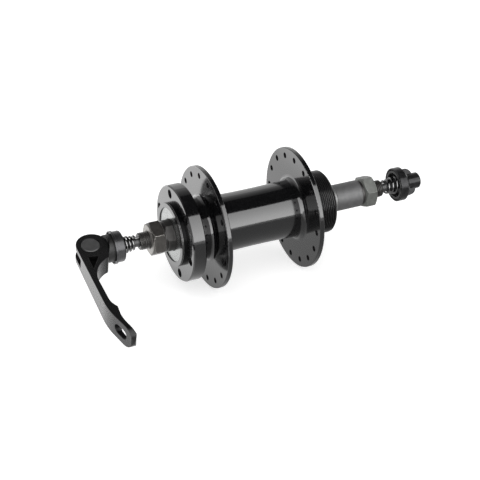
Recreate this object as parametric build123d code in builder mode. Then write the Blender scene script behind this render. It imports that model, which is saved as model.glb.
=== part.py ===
"""Rear bicycle hub with loose ball bearings, a six-bolt rotor flange, a freewheel thread and a skewer.

Row frame: millimetres, origin on the axle's axis midway between the two locknut faces,
+Y along the axle to the rotor side, +Z up, +X completing the right-handed set.
"""
from build123d import *
from math import acos, atan, atan2, cos, pi, radians, sin, sqrt, tan
import os

# Axle and the width of the frame that it fits
over_locknuts = 135.0
axle_diameter = 9.5
axle_inner_diameter = 9.0
axle_bore = 5.5
axle_overhang = 5.5
axle_shoulder_gap = 0.1
axle_chamfer = 0.6
thread_clearance = 0.05
dropout_face = over_locknuts / 2

# Locknuts
locknut_thickness = 7.5
rotor_locknut_flats = 17.0
drive_locknut_flats = 16.0
rotor_locknut_turn = 5.5
drive_locknut_turn = -9.0
locknut_face_inset = 0.8
locknut_chamfer_angle = 30.0
locknut_mouth = 0.45

# Washers and the spacer tube
lock_washer_thickness = 1.0
lock_washer_radius = 7.6
outer_washer_thickness = 1.4
outer_washer_radius = 6.9
inner_washer_thickness = 1.2
inner_washer_radius = 7.9
spacer_length = 16.4
spacer_radius = 7.45
spacer_chamfer = 0.5

# Bearings: nine quarter-inch balls a side
ball_diameter = 6.35
ball_count = 9
ball_circle_radius = 9.8
race_clearance = 0.08
race_radius = ball_diameter / 2 + race_clearance
cup_radius = 14.2
cup_back = 4.5
cup_mouth = 5.1
cup_back_bore = 8.8

# Cones, in lengths from the plane of the ball centres
cone_nose = 4.0
cone_collar_radius = 8.5
cone_collar_end = 6.3
cone_end = 10.4
cone_flats = 15.0
cone_flats_turn = -54.0
cone_chamfer = 0.4

# Dust caps
dust_cap_thickness = 0.8
dust_cap_radius = 14.75
dust_cap_gap = 0.35
dust_cap_skirt = 1.4
dust_cap_skirt_wall = 0.6
dust_cap_seat_gap = 0.05

# Hub shell: rotor flange and pilot ring
rotor_face_inset = 15.3
rotor_flange_thickness = 7.5
rotor_bolt_circle = 44.0
rotor_bolt_margin = 4.4
rotor_bolt_count = 6
rotor_bolt_turn = 15.0
rotor_bolt_thread = 5.0
pilot_diameter = 34.9
pilot_height = 2.9
pilot_wall_gap = 0.1
rotor_flange_edge = 0.6

# Hub shell: spoke flanges
flange_radius = 33.7
flange_thickness = 2.6
rotor_flange_offset = 34.35
drive_flange_offset = 19.1
spoke_hole_inset = 4.4
spoke_count = 16
spoke_hole = 2.6
spoke_turn = 9.4
flange_edge = 0.4

# Hub shell: neck, barrel and freewheel thread
neck_radius = 16.6
neck_fillet = 2.4
barrel_end_radius = 16.1
barrel_waist_radius = 15.45
barrel_fillet = 2.8
barrel_bore = 12.0
thread_diameter = 34.9
thread_length = 14.2
thread_shoulder_radius = 18.5
thread_shoulder_width = 2.2
thread_chamfer = 0.8

# Skewer: rod, pivot pin and lever
rod_diameter = 5.0
rod_chamfer = 0.3
rod_past_pivot = 2.45
pivot_offset = 99.8
pin_diameter = 9.8
pin_proud = 0.15
pin_hole_gap = 0.06
pin_chamfer = 0.3
pin_hole_edge = 0.45
lever_width = 10.3
lever_tip_width = 13.3
lever_taper_start = 5.0
lever_droop = 12.5
cam_radius = 8.45
cam_throw = 0.9
ear_slot_width = 5.3
ear_slot_reach = 7.0
lever_length = 68.6
arm_outer = 8.15
arm_thickness = 3.2
arm_bend_start_from_tip = 25.6
arm_bend_end_from_tip = 13.6
arm_bend_end_offset = 6.45
arm_straight_end_from_tip = 27.6
heel_from_tip = 20.6
heel_offset = 2.75
heel_round = 0.8
heel_rise = 0.4
finger_crest_from_tip = 15.1
finger_crest_offset = 3.25
tip_offset = 1.5
tip_radius = 1.6
web_end = 27.0
web_along = 16.5
web_offset = 1.1
foot_along = 12.1
foot_depth = 5.2
foot_round = 0.9
foot_lean = 0.2
pocket_corners = [(8.0, 4.2), (9.3, -1.3), (18.0, 4.5)]
tip_slot_from_tip = 4.4
tip_slot_length = 9.6
tip_slot_width = 5.8
pocket_depth = 3.2

# Skewer: cap and cam saddle
cam_gap = 0.3
saddle_radius = 7.5
saddle_curve = 14.0
saddle_side_height = 2.0
saddle_floor_thickness = 2.7
saddle_spigot_radius = 5.4
saddle_spigot_depth = 1.4
saddle_seat_gap = 0.05
cap_length = 5.6
cap_radius = 8.4
cap_rim_radius = 8.95
cap_rim_width = 1.1
cap_rim_wall = 0.45
cap_recess_depth = 0.75
cap_fillet = 1.0
rod_gap = 0.25

# Skewer: nut
nut_face_offset = 81.9
nut_radius = 9.55
nut_rim_length = 6.2
nut_rim_taper = 1.8
nut_boss_radius = 4.5
nut_length = 15.6
nut_boss_edge = 0.6
nut_recess_radius = 7.0
nut_recess_depth = 2.6
nut_rib_count = 6
nut_rib_width = 1.0
nut_rib_inner = 5.45
nut_rib_root = 0.25
nut_rib_drop = 0.6
nut_ring_outer = 8.2
nut_ring_thickness = 1.5
nut_groove_width = 0.6
nut_face_edge = 0.3
wing_width = 3.6
wing_turn = 38.0
wing_root_radius = 7.6
wing_bend_from_face = 8.0
wing_end_from_face = 12.0
rod_inset_in_nut = 1.0
nut_thread_gap = 0.06

# Springs: conical, with a straight foot at each end
wire_diameter = 1.15
spring_small_radius = 3.25
spring_seat_gap = 0.1
spring_bend_radius = 1.0
rotor_spring_large_radius = 4.3
drive_spring_large_radius = 4.75
spring_seat_depth = 0.8
spring_seat_radius = 5.3
spring_turns = 3
nodes_per_turn = 4

# Places along the axle, worked out from the sizes above
rotor_locknut_inner = dropout_face - locknut_thickness
rotor_cone_end = rotor_locknut_inner - lock_washer_thickness
rotor_balls = rotor_cone_end - cone_end
drive_locknut_inner = dropout_face - locknut_thickness
spacer_outer = drive_locknut_inner - outer_washer_thickness
spacer_inner = spacer_outer - spacer_length
drive_cone_end = spacer_inner - inner_washer_thickness
drive_balls = drive_cone_end - cone_end
rotor_face = dropout_face - rotor_face_inset
rotor_flange_back = rotor_face - rotor_flange_thickness
rotor_flange_radius = rotor_bolt_circle / 2 + rotor_bolt_margin
spoke_circle_radius = flange_radius - spoke_hole_inset
pilot_end = rotor_face + pilot_height
axle_half = dropout_face + axle_overhang
drive_flange_out = drive_flange_offset + flange_thickness / 2
drive_flange_in = drive_flange_offset - flange_thickness / 2
rotor_flange_out = rotor_flange_offset + flange_thickness / 2
rotor_flange_in = rotor_flange_offset - flange_thickness / 2
thread_end = drive_flange_out + thread_shoulder_width + thread_length
pilot_bore = dust_cap_radius + pilot_wall_gap
cam_bottom = pivot_offset - cam_throw - cam_radius
saddle_floor = cam_bottom - cam_gap
saddle_bottom = saddle_floor - saddle_floor_thickness
cap_outer_end = saddle_bottom - saddle_seat_gap + cap_recess_depth
cap_inner_face = cap_outer_end - cap_length
nut_end_offset = nut_face_offset + nut_length
rod_end_offset = nut_end_offset - rod_inset_in_nut
axle_shoulder = dropout_face + axle_shoulder_gap
axle_hole_radius = axle_inner_diameter / 2 + thread_clearance
rotor_spring_seat = cap_inner_face + spring_seat_depth
drive_spring_seat = nut_face_offset + nut_recess_depth


def across(y):
    """Plane square to the axle at y; angles on it run from +Z towards +X."""
    return Plane(origin=(0, y, 0), x_dir=(0, 0, 1), z_dir=(0, 1, 0))


def save(piece, name):
    """Label a finished piece and write it as its own file."""
    piece.part.label = name
    export_step(piece.part, f"parts/{name}.step")


def side_points(side, base, points):
    """Turn (outward distance, radius) pairs into profile points on one side of the hub."""
    return [(side * (base + outward), radius) for outward, radius in points]


def ring_edges(turned, y, radius):
    """The circular edges of a turned piece at one place and radius."""
    rings = turned.edges().filter_by(GeomType.CIRCLE)
    return rings.filter_by(lambda e: abs(e.radius - radius) < 1e-6 and abs(e.arc_center.Y - y) < 1e-6)


def make_ring(name, start, end, inner, outer, chamfer_size=0.0):
    """A plain ring about the axle between two offsets, with chamfered outer edges if wanted."""
    with BuildPart() as ring:
        with BuildSketch(Plane.YZ):
            with BuildLine():
                Polyline((start, inner), (end, inner), (end, outer), (start, outer), close=True)
            make_face()
        revolve(axis=Axis.Y)
        if chamfer_size:
            rims = ring.edges().filter_by(GeomType.CIRCLE).filter_by(lambda e: abs(e.radius - outer) < 1e-6)
            chamfer(rims, chamfer_size)
    save(ring, name)


def make_axle_ring(name, start, end, outer, chamfer_size=0.0):
    """A ring whose hole fits over the axle."""
    make_ring(name, start, end, axle_hole_radius, outer, chamfer_size)


def make_axle():
    """The hollow axle: full diameter on the two ends that stand out, a little less inside the nuts."""
    end_radius = axle_diameter / 2
    inner_radius = axle_inner_diameter / 2
    with BuildPart() as axle:
        with BuildSketch(Plane.YZ):
            with BuildLine():
                Polyline(
                    (-axle_half, axle_bore / 2),
                    (axle_half, axle_bore / 2),
                    (axle_half, end_radius),
                    (axle_shoulder, end_radius),
                    (axle_shoulder, inner_radius),
                    (-axle_shoulder, inner_radius),
                    (-axle_shoulder, end_radius),
                    (-axle_half, end_radius),
                    close=True,
                )
            make_face()
        revolve(axis=Axis.Y)
        for y in (-axle_half, axle_half):
            chamfer(ring_edges(axle, y, end_radius), axle_chamfer)
    save(axle, "axle")


def make_locknut(name, inner_offset, side, flats, turn):
    """A hexagonal locknut with both faces chamfered round and its hole's outer edge opened."""
    outer_offset = inner_offset + locknut_thickness
    corner = flats / 2 / cos(pi / 6)
    face = flats / 2 - locknut_face_inset
    slope = (corner - face) * tan(radians(locknut_chamfer_angle))
    outline = [
        (inner_offset, axle_hole_radius),
        (outer_offset - locknut_mouth, axle_hole_radius),
        (outer_offset, axle_hole_radius + locknut_mouth),
        (outer_offset, face),
        (outer_offset - slope, corner),
        (inner_offset + slope, corner),
        (inner_offset, face),
    ]
    with BuildPart() as nut:
        with BuildSketch(across(side * inner_offset)):
            RegularPolygon(flats / 2, 6, major_radius=False, rotation=turn)
        extrude(amount=side * locknut_thickness)
        with BuildSketch(Plane.YZ):
            with BuildLine():
                Polyline([(side * y, radius) for y, radius in outline], close=True)
            make_face()
        revolve(axis=Axis.Y, mode=Mode.INTERSECT)
    save(nut, name)


def make_cup(name, side, balls):
    """A pressed-in bearing cup, whose race is a quarter of a circle round the ball."""
    race_top = ball_circle_radius + race_radius
    middle = race_radius * sqrt(0.5)
    with BuildPart() as cup:
        with BuildSketch(Plane.YZ):
            with BuildLine():
                Polyline(side_points(side, balls, [
                    (0, race_top),
                    (cup_mouth, race_top),
                    (cup_mouth, cup_radius),
                    (-cup_back, cup_radius),
                    (-cup_back, cup_back_bore),
                    (-race_radius, cup_back_bore),
                    (-race_radius, ball_circle_radius),
                ]))
                ThreePointArc(*side_points(side, balls, [
                    (-race_radius, ball_circle_radius),
                    (-middle, ball_circle_radius + middle),
                    (0, race_top),
                ]))
            make_face()
        revolve(axis=Axis.Y)
    save(cup, name)


def make_cone(name, side, balls):
    """A bearing cone: a nose, a race, a round collar and two wrench flats at the outer end."""
    nose_radius = ball_circle_radius - race_radius
    race_end = sqrt(race_radius**2 - (ball_circle_radius - cone_collar_radius) ** 2)
    half_turn = (pi / 2 - acos(race_end / race_radius)) / 2
    middle = (race_radius * sin(half_turn), ball_circle_radius - race_radius * cos(half_turn))
    with BuildPart() as cone:
        with BuildSketch(Plane.YZ):
            with BuildLine():
                Polyline(side_points(side, balls, [
                    (race_end, cone_collar_radius),
                    (cone_end - cone_chamfer, cone_collar_radius),
                    (cone_end, cone_collar_radius - cone_chamfer),
                    (cone_end, axle_hole_radius),
                    (-cone_nose, axle_hole_radius),
                    (-cone_nose, nose_radius),
                    (0, nose_radius),
                ]))
                ThreePointArc(*side_points(side, balls, [
                    (0, nose_radius),
                    middle,
                    (race_end, cone_collar_radius),
                ]))
            make_face()
        revolve(axis=Axis.Y)
        with BuildSketch(across(side * (balls + cone_collar_end))):
            with PolarLocations(cone_collar_radius + cone_flats / 2, 2, start_angle=cone_flats_turn):
                Rectangle(cone_collar_radius * 2, cone_collar_radius * 3)
        extrude(amount=side * (cone_end - cone_collar_end), mode=Mode.SUBTRACT)
    save(cone, name)


def make_dust_cap(name, side, balls):
    """A pressed dust cap: a flat ring with a short skirt inside the cup's mouth."""
    under = cup_mouth + dust_cap_seat_gap
    top = under + dust_cap_thickness
    hole = cone_collar_radius + dust_cap_gap
    skirt_outer = ball_circle_radius + race_radius - dust_cap_seat_gap
    skirt_inner = skirt_outer - dust_cap_skirt_wall
    with BuildPart() as cap:
        with BuildSketch(Plane.YZ):
            with BuildLine():
                Polyline(side_points(side, balls, [
                    (top, hole),
                    (top, dust_cap_radius),
                    (under, dust_cap_radius),
                    (under, skirt_outer),
                    (under - dust_cap_skirt, skirt_outer),
                    (under - dust_cap_skirt, skirt_inner),
                    (under, skirt_inner),
                    (under, hole),
                ]), close=True)
            make_face()
        revolve(axis=Axis.Y)
    save(cap, name)


def make_balls(name, side, balls):
    """The bearing balls of one side, evenly spaced."""
    with BuildPart(across(side * balls)) as ball_set:
        with PolarLocations(ball_circle_radius, ball_count):
            Sphere(ball_diameter / 2)
    save(ball_set, name)


def make_shell():
    """The hub shell: one turned piece with rotor holes, spoke holes and stepped bores."""
    dust_seat = rotor_balls + cup_mouth
    drive_mouth = drive_balls + cup_mouth
    barrel_middle = (rotor_flange_in - drive_flange_in) / 2
    with BuildPart() as shell:
        with BuildSketch(Plane.YZ):
            with BuildLine():
                Polyline(
                    (-drive_flange_in, barrel_end_radius),
                    (-drive_flange_in, flange_radius),
                    (-drive_flange_out, flange_radius),
                    (-drive_flange_out, thread_shoulder_radius),
                    (-drive_flange_out - thread_shoulder_width, thread_shoulder_radius),
                    (-drive_flange_out - thread_shoulder_width, thread_diameter / 2),
                    (thread_chamfer - thread_end, thread_diameter / 2),
                    (-thread_end, thread_diameter / 2 - thread_chamfer),
                    (-thread_end, pilot_bore),
                    (-drive_mouth, pilot_bore),
                    (-drive_mouth, cup_radius),
                    (cup_back - drive_balls, cup_radius),
                    (cup_back - drive_balls, barrel_bore),
                    (rotor_balls - cup_back, barrel_bore),
                    (rotor_balls - cup_back, cup_radius),
                    (dust_seat, cup_radius),
                    (dust_seat, pilot_bore),
                    (pilot_end, pilot_bore),
                    (pilot_end, pilot_diameter / 2),
                    (rotor_face, pilot_diameter / 2),
                    (rotor_face, rotor_flange_radius),
                    (rotor_flange_back, rotor_flange_radius),
                    (rotor_flange_back, neck_radius),
                    (rotor_flange_out, neck_radius),
                    (rotor_flange_out, flange_radius),
                    (rotor_flange_in, flange_radius),
                    (rotor_flange_in, barrel_end_radius),
                )
                ThreePointArc(
                    (rotor_flange_in, barrel_end_radius),
                    (barrel_middle, barrel_waist_radius),
                    (-drive_flange_in, barrel_end_radius),
                )
            make_face()
        revolve(axis=Axis.Y)
        fillet(ring_edges(shell, rotor_flange_out, neck_radius), neck_fillet)
        fillet(ring_edges(shell, rotor_flange_back, neck_radius), neck_fillet)
        fillet(ring_edges(shell, rotor_flange_in, barrel_end_radius), barrel_fillet)
        fillet(ring_edges(shell, -drive_flange_in, barrel_end_radius), barrel_fillet)
        for y in (rotor_flange_out, rotor_flange_in, -drive_flange_in, -drive_flange_out):
            fillet(ring_edges(shell, y, flange_radius), flange_edge)
        for y in (rotor_face, rotor_flange_back):
            chamfer(ring_edges(shell, y, rotor_flange_radius), rotor_flange_edge)
        with BuildSketch(across(rotor_face)):
            with PolarLocations(rotor_bolt_circle / 2, rotor_bolt_count, start_angle=rotor_bolt_turn):
                Circle(rotor_bolt_thread / 2)
        extrude(amount=-rotor_flange_thickness, mode=Mode.SUBTRACT)
        half_pitch = 180 / spoke_count
        for outer, turn in ((rotor_flange_out, spoke_turn), (-drive_flange_in, spoke_turn + half_pitch)):
            with BuildSketch(across(outer)):
                with PolarLocations(spoke_circle_radius, spoke_count, start_angle=turn):
                    Circle(spoke_hole / 2)
            extrude(amount=-flange_thickness, mode=Mode.SUBTRACT)
    save(shell, "hub_shell")


def arc_middle(start, end, start_direction):
    """Middle point of the arc that leaves start along a direction and reaches end."""
    chord = end - start
    unit = chord.normalized()
    along = start_direction.normalized()
    across_part = along - unit * along.dot(unit)
    middle = (start + end) * 0.5
    if across_part.length < 1e-9:
        return middle
    half_angle = acos(max(-1.0, min(1.0, along.dot(unit)))) / 2
    return middle + across_part.normalized() * (chord.length / 2 * tan(half_angle))


def add_biarc(start, start_direction, end, end_direction):
    """Two tangent arcs from one point and direction to another, inside a BuildLine block."""
    chord = end - start
    both = start_direction + end_direction
    spread = 2 * (1 - start_direction.dot(end_direction))
    reach = chord.dot(both)
    leg = (sqrt(reach**2 + spread * chord.dot(chord)) - reach) / spread
    joint = (start + end + (start_direction - end_direction) * leg) * 0.5
    ThreePointArc(start, arc_middle(start, joint, start_direction), joint)
    ThreePointArc(joint, arc_middle(end, joint, end_direction * -1), end)


def make_spring(name, side, small_seat, large_seat, large_radius):
    """A conical spring whose small end stands on the axle's end and large end in its seat."""
    foot = wire_diameter
    helix_start = small_seat + spring_seat_gap + foot + spring_bend_radius
    helix_end = large_seat - spring_seat_gap - foot - spring_bend_radius
    steps = spring_turns * nodes_per_turn
    bend_turn_small = atan(spring_bend_radius / spring_small_radius)
    bend_turn_large = atan(spring_bend_radius / large_radius)
    sweep_angle = 2 * pi * spring_turns

    def at(y, angle, radius):
        return Vector(radius * sin(angle), side * y, radius * cos(angle))

    def round_axle(angle):
        return Vector(cos(angle), 0, -sin(angle))

    growth = (large_radius - spring_small_radius) / sweep_angle
    climb = (helix_end - helix_start) / sweep_angle
    axial = Vector(0, side, 0)
    nodes = []
    for step in range(1, steps):
        angle = sweep_angle * step / steps
        radius = spring_small_radius + growth * angle
        point = at(helix_start + climb * angle, angle, radius)
        radial = Vector(sin(angle), 0, cos(angle))
        heading = (round_axle(angle) * radius + radial * growth + axial * climb).normalized()
        nodes.append((point, heading))
    start_angle = -bend_turn_small
    end_angle = sweep_angle + bend_turn_large
    foot_start = at(small_seat + spring_seat_gap, start_angle, spring_small_radius)
    foot_top = foot_start + axial * foot
    small_heading = round_axle(start_angle)
    bend_small_end = foot_top + (axial + small_heading) * spring_bend_radius
    foot_end = at(large_seat - spring_seat_gap, end_angle, large_radius)
    foot_bottom = foot_end - axial * foot
    large_heading = round_axle(end_angle)
    bend_large_start = foot_bottom - (axial + large_heading) * spring_bend_radius
    bend_large_middle = arc_middle(bend_large_start, foot_bottom, large_heading)
    route = [(bend_small_end, small_heading)] + nodes + [(bend_large_start, large_heading)]
    with BuildPart() as spring:
        with BuildLine() as path:
            Line(foot_start, foot_top)
            ThreePointArc(foot_top, arc_middle(foot_top, bend_small_end, axial), bend_small_end)
            for (start, start_heading), (end, end_heading) in zip(route, route[1:]):
                add_biarc(start, start_heading, end, end_heading)
            ThreePointArc(bend_large_start, bend_large_middle, foot_bottom)
            Line(foot_bottom, foot_end)
        with BuildSketch(Plane(origin=foot_start, z_dir=axial)):
            Circle(wire_diameter / 2)
        sweep(path=path.wire())
    report_spring(name, path.wire(), spring.part)
    save(spring, name)


def report_spring(name, wire, solid):
    """Print the least gap between the spring's own turns and its volume against wire length."""
    samples = 480
    points = [wire.position_at(i / samples) for i in range(samples + 1)]
    apart = int(samples * 0.5 / spring_turns)
    gap = min(
        (points[i] - points[j]).length
        for i in range(samples + 1)
        for j in range(i + apart, samples + 1)
    ) - wire_diameter
    ideal = pi * wire_diameter**2 / 4 * wire.length
    print(f"{name}: least gap between turns {gap:.2f} mm, volume {solid.volume:.2f} of {ideal:.2f} mm3")


def lever_plane():
    """Plane of the lever's side outline: x along the closed lever, y outward along the axle."""
    along = (-cos(radians(lever_droop)), 0, -sin(radians(lever_droop)))
    square = (sin(radians(lever_droop)), 0, -cos(radians(lever_droop)))
    return Plane(origin=(0, pivot_offset, 0), x_dir=along, z_dir=square)


def make_lever():
    """The cam lever: two ears with an off-centre cam, an arm that widens and a bent tip with a slot."""
    side_plane = lever_plane()
    plan_plane = Plane(origin=side_plane.origin, x_dir=side_plane.x_dir, z_dir=(0, 1, 0))
    foot_end = (foot_along - foot_round, -foot_depth - foot_round)
    reach = sqrt(foot_end[0] ** 2 + (foot_end[1] + cam_throw) ** 2)
    ramp_angle = atan2(foot_end[1] + cam_throw, foot_end[0]) - acos(cam_radius / reach)
    ramp_start = (cam_radius * cos(ramp_angle), cam_radius * sin(ramp_angle) - cam_throw)
    ear_top = (0, cam_radius - cam_throw)
    foot_top = (foot_along + foot_lean, foot_round - foot_depth)
    arm_inner = arm_outer - arm_thickness
    bend_start = (lever_length - arm_bend_start_from_tip, arm_outer)
    bend_end = (lever_length - arm_bend_end_from_tip, arm_bend_end_offset)
    outer_tip = (lever_length - tip_radius, tip_offset + tip_radius)
    inner_tip = (lever_length - tip_radius, tip_offset - tip_radius)
    finger_crest = (lever_length - finger_crest_from_tip, finger_crest_offset)
    heel_along = lever_length - heel_from_tip
    heel_end = (heel_along + heel_round, heel_offset)
    heel_start = (heel_along - heel_round, heel_offset + heel_rise)
    arm_end = (lever_length - arm_straight_end_from_tip, arm_inner)
    slot_middle = lever_length - tip_slot_from_tip - tip_slot_length / 2
    ear_half = lever_width / 2
    tip_half = lever_tip_width / 2
    tip_middle = lever_length - tip_half
    with BuildPart() as lever:
        with BuildSketch(side_plane):
            with BuildLine():
                Line(ear_top, bend_start)
                TangentArc(bend_start, bend_end, tangent=(1, 0))
                Line(bend_end, outer_tip)
                ThreePointArc(outer_tip, (lever_length, tip_offset), inner_tip)
                TangentArc(finger_crest, inner_tip, tangent=(1, 0))
                Line(finger_crest, heel_end)
                ThreePointArc(heel_end, (heel_along, heel_offset), heel_start)
                TangentArc(arm_end, heel_start, tangent=(1, 0))
                Line(arm_end, (web_end, arm_inner))
                ThreePointArc((web_end, arm_inner), (web_along, web_offset), foot_top)
                ThreePointArc(foot_top, (foot_along, -foot_depth), foot_end)
                Line(foot_end, ramp_start)
                ThreePointArc(ramp_start, (-cam_radius, -cam_throw), ear_top)
            make_face()
        extrude(amount=tip_half, both=True)
        with BuildSketch(plan_plane):
            with BuildLine():
                Polyline(
                    (tip_middle, tip_half),
                    (lever_taper_start, ear_half),
                    (-cam_radius * 2, ear_half),
                    (-cam_radius * 2, -ear_half),
                    (lever_taper_start, -ear_half),
                    (tip_middle, -tip_half),
                )
                ThreePointArc((tip_middle, -tip_half), (lever_length, 0), (tip_middle, tip_half))
            make_face()
        extrude(amount=lever_length, both=True, mode=Mode.INTERSECT)
        with BuildSketch(side_plane):
            with Locations((ear_slot_reach - cam_radius * 2, 0)):
                Rectangle(cam_radius * 4, cam_radius * 4)
        extrude(amount=ear_slot_width / 2, both=True, mode=Mode.SUBTRACT)
        hole_radius = pin_diameter / 2 + pin_hole_gap
        with BuildSketch(side_plane):
            Circle(hole_radius)
        extrude(amount=lever_width, both=True, mode=Mode.SUBTRACT)
        rims = lever.edges().filter_by(GeomType.CIRCLE)
        rims = rims.filter_by(lambda e: abs(e.radius - hole_radius) < 1e-6)
        outermost = rims.sort_by(Axis(side_plane.origin, side_plane.z_dir))
        chamfer([outermost[0], outermost[-1]], pin_hole_edge)
        for side in (1, -1):
            with BuildSketch(side_plane.offset(side * tip_half)):
                with BuildLine():
                    Polyline(pocket_corners, close=True)
                make_face()
            extrude(amount=-side * (tip_half - ear_half + pocket_depth), mode=Mode.SUBTRACT)
        with BuildSketch(plan_plane):
            with Locations((slot_middle, 0)):
                SlotOverall(tip_slot_length, tip_slot_width)
        extrude(amount=lever_width * 2, both=True, mode=Mode.SUBTRACT)
    save(lever, "cam_lever")


def make_pivot_pin():
    """The lever's pivot pin with a blind cross hole that the rod's end screws into."""
    side_plane = lever_plane()
    half_length = lever_width / 2 + pin_proud
    with BuildPart() as pin:
        with BuildSketch(side_plane):
            Circle(pin_diameter / 2)
        extrude(amount=half_length, both=True)
        chamfer(pin.edges().filter_by(GeomType.CIRCLE), pin_chamfer)
        with BuildSketch(across(pivot_offset - pin_diameter)):
            Circle(rod_diameter / 2 + thread_clearance)
        extrude(amount=pin_diameter + rod_past_pivot + thread_clearance, mode=Mode.SUBTRACT)
    save(pin, "lever_pivot_pin")


def make_rod():
    """The skewer rod, from inside the pivot pin to the nut's boss."""
    length = rod_end_offset + pivot_offset + rod_past_pivot
    with BuildPart() as rod:
        with BuildSketch(across(-rod_end_offset)):
            Circle(rod_diameter / 2)
        extrude(amount=length)
        chamfer(rod.edges().filter_by(GeomType.CIRCLE), rod_chamfer)
    save(rod, "skewer_rod")


def make_saddle():
    """The cam saddle: a disc with a shallow curved trough, a spigot below and a hole for the rod."""
    spigot_end = saddle_bottom - saddle_spigot_depth
    hole = rod_diameter / 2 + rod_gap
    side_top = saddle_floor + saddle_side_height
    with BuildPart() as saddle:
        with BuildSketch(Plane.YZ):
            with BuildLine():
                Polyline(
                    (spigot_end, hole),
                    (side_top, hole),
                    (side_top, saddle_radius),
                    (saddle_bottom, saddle_radius),
                    (saddle_bottom, saddle_spigot_radius),
                    (spigot_end, saddle_spigot_radius),
                    close=True,
                )
            make_face()
        revolve(axis=Axis.Y)
        with BuildSketch(lever_plane()):
            with Locations((0, saddle_floor + saddle_curve - pivot_offset)):
                Circle(saddle_curve)
        extrude(amount=saddle_radius * 2, both=True, mode=Mode.SUBTRACT)
    save(saddle, "cam_saddle")


def make_cap():
    """The clamp cap: a turned metal cup with a thin rim, a pocket for the saddle and a spring seat."""
    hole = rod_diameter / 2 + rod_gap
    rim_start = cap_outer_end - cap_rim_width
    floor = saddle_bottom - saddle_seat_gap
    pocket = floor - saddle_spigot_depth - saddle_seat_gap
    mouth = cap_rim_radius - cap_rim_wall
    seat = cap_inner_face + spring_seat_depth
    with BuildPart() as cap:
        with BuildSketch(Plane.YZ):
            with BuildLine():
                Polyline(
                    (seat, hole),
                    (pocket, hole),
                    (pocket, saddle_spigot_radius + saddle_seat_gap),
                    (floor, saddle_spigot_radius + saddle_seat_gap),
                    (floor, mouth),
                    (cap_outer_end, mouth),
                    (cap_outer_end, cap_rim_radius),
                    (rim_start, cap_rim_radius),
                    (rim_start, cap_radius),
                    (cap_inner_face, cap_radius),
                    (cap_inner_face, spring_seat_radius),
                    (seat, spring_seat_radius),
                    close=True,
                )
            make_face()
        revolve(axis=Axis.Y)
        fillet(ring_edges(cap, cap_inner_face, cap_radius), cap_fillet)
    save(cap, "clamp_cap")


def make_nut():
    """The skewer nut: a round rim, a boss, two wings, and a ribbed recess and a ring seat in its face."""
    face = -nut_face_offset
    rim_back = face - nut_rim_length
    end = -nut_end_offset
    ring_seat = face - nut_ring_thickness
    recess = face - nut_recess_depth
    groove_outer = nut_ring_outer + nut_groove_width
    rib_outer = nut_recess_radius + nut_rib_root
    bore = rod_diameter / 2 + nut_thread_gap
    wing_bend = face - wing_bend_from_face
    wing_end = face - wing_end_from_face
    wing_normal = (cos(radians(wing_turn)), 0, -sin(radians(wing_turn)))
    with BuildPart() as nut:
        with BuildSketch(Plane.YZ):
            with BuildLine():
                Polyline(
                    (recess, bore),
                    (recess, nut_recess_radius),
                    (ring_seat, nut_recess_radius),
                    (ring_seat, groove_outer),
                    (face, groove_outer),
                    (face, nut_radius - nut_face_edge),
                    (face - nut_face_edge, nut_radius),
                    (rim_back + nut_rim_taper, nut_radius),
                    (rim_back, wing_root_radius),
                    (rim_back, nut_boss_radius),
                    (end + nut_boss_edge, nut_boss_radius),
                    (end, nut_boss_radius - nut_boss_edge),
                    (end, bore),
                    close=True,
                )
            make_face()
        revolve(axis=Axis.Y)
        with BuildSketch(Plane(origin=(0, 0, 0), x_dir=(0, 1, 0), z_dir=wing_normal)):
            with BuildLine():
                Polyline(
                    (wing_bend, -wing_root_radius),
                    (rim_back, -wing_root_radius),
                    (rim_back, wing_root_radius),
                    (wing_bend, wing_root_radius),
                )
                TangentArc((wing_bend, wing_root_radius), (wing_end, nut_boss_radius), tangent=(-1, 0))
                Line((wing_end, nut_boss_radius), (wing_end, -nut_boss_radius))
                TangentArc((wing_bend, -wing_root_radius), (wing_end, -nut_boss_radius), tangent=(-1, 0))
            make_face()
        extrude(amount=wing_width / 2, both=True)
        with BuildSketch(across(end)):
            Circle(bore)
        extrude(amount=nut_length - nut_recess_depth, mode=Mode.SUBTRACT)
        with BuildSketch(across(recess)):
            with PolarLocations((nut_rib_inner + rib_outer) / 2, nut_rib_count):
                Rectangle(rib_outer - nut_rib_inner, nut_rib_width)
        extrude(amount=nut_recess_depth - nut_ring_thickness - nut_rib_drop)
    save(nut, "skewer_nut")


def make_nut_ring():
    """The steel ring let into the nut's face, with a groove left open round it."""
    seat = -nut_face_offset - nut_ring_thickness
    make_ring("skewer_nut_ring", seat, -nut_face_offset, nut_recess_radius, nut_ring_outer)


os.makedirs("parts", exist_ok=True)

make_axle()
make_locknut("rotor_side_locknut", rotor_locknut_inner, 1, rotor_locknut_flats, rotor_locknut_turn)
make_locknut("drive_side_locknut", drive_locknut_inner, -1, drive_locknut_flats, drive_locknut_turn)
make_axle_ring("rotor_side_lock_washer", rotor_cone_end, rotor_locknut_inner, lock_washer_radius)
make_axle_ring("drive_side_outer_washer", -drive_locknut_inner, -spacer_outer, outer_washer_radius)
make_axle_ring("drive_side_spacer", -spacer_outer, -spacer_inner, spacer_radius, spacer_chamfer)
make_axle_ring("drive_side_inner_washer", -spacer_inner, -drive_cone_end, inner_washer_radius)
for side_name, side, balls in (("rotor_side", 1, rotor_balls), ("drive_side", -1, drive_balls)):
    make_cup(f"{side_name}_bearing_cup", side, balls)
    make_cone(f"{side_name}_cone", side, balls)
    make_dust_cap(f"{side_name}_dust_cap", side, balls)
    make_balls(f"{side_name}_bearing_balls", side, balls)
make_shell()
make_spring("rotor_side_spring", 1, axle_half, rotor_spring_seat, rotor_spring_large_radius)
make_spring("drive_side_spring", -1, axle_half, drive_spring_seat, drive_spring_large_radius)
make_lever()
make_pivot_pin()
make_rod()
make_saddle()
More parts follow.
